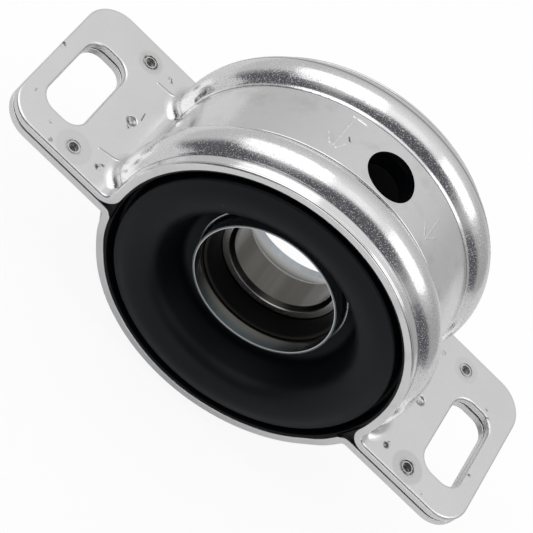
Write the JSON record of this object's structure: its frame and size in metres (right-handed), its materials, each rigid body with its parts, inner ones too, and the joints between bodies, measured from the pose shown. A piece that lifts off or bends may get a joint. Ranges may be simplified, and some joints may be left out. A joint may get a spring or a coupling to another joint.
{
  "type": "driveshaft centre bearing",
  "caption": "Sealed ball bearing in a convoluted rubber cushion, held by two pressed half shells with slotted ears, to carry the joint of a two-piece driveshaft.",
  "frame": {"origin": "centre of the bearing, on the shaft's axis", "axes": "+X along the ears to the right one, +Y along the shaft from the front rim to the rear one, +Z square to the ears, from them toward the top of the upper shell"},
  "size_m": [0.164, 0.0536, 0.0984],
  "materials": {
    "zinc_steel": "bright zinc-plated pressed sheet",
    "cushion_rubber": "satin moulded rubber",
    "sleeve_steel": "thin drawn steel, lightly oiled",
    "bearing_steel": "ground bearing steel",
    "seal_rubber": "matt seal rubber",
    "cage_steel": "pressed steel"
  },
  "bodies": {
    "housing": {"upper_shell": "zinc_steel", "lower_shell": "zinc_steel", "rubber_cushion": "cushion_rubber", "front_sleeve": "sleeve_steel", "rear_sleeve": "sleeve_steel", "front_seal_ring": "sleeve_steel", "front_dust_seal": "seal_rubber", "rear_seal_ring": "sleeve_steel", "rear_dust_seal": "seal_rubber", "outer_race": "bearing_steel", "front_bearing_seal": "seal_rubber", "rear_bearing_seal": "seal_rubber"},
    "race": {"inner_race": "bearing_steel"},
    "rolling_set": {"cage_front": "cage_steel", "cage_rear": "cage_steel", "ball_01": "bearing_steel", "ball_02": "bearing_steel", "ball_03": "bearing_steel", "ball_04": "bearing_steel", "ball_05": "bearing_steel", "ball_06": "bearing_steel", "ball_07": "bearing_steel", "ball_08": "bearing_steel", "ball_09": "bearing_steel", "ball_10": "bearing_steel", "ball_11": "bearing_steel", "cage_rivet_01": "cage_steel", "cage_rivet_02": "cage_steel", "cage_rivet_03": "cage_steel", "cage_rivet_04": "cage_steel", "cage_rivet_05": "cage_steel", "cage_rivet_06": "cage_steel", "cage_rivet_07": "cage_steel", "cage_rivet_08": "cage_steel", "cage_rivet_09": "cage_steel", "cage_rivet_10": "cage_steel", "cage_rivet_11": "cage_steel"}
  },
  "joints": [
    {"name": "race_spin", "type": "hinge", "parent": "housing", "child": "race", "pos_m": [0, 0, 0], "axis": [0, 1, 0], "continuous": true},
    {"name": "cage_spin", "type": "hinge", "parent": "housing", "child": "rolling_set", "pos_m": [0, 0, 0], "axis": [0, 1, 0], "continuous": true}
  ],
  "couplings": [
    {"joint": "cage_spin", "follows": "race_spin", "ratio": 0.41595}
  ]
}
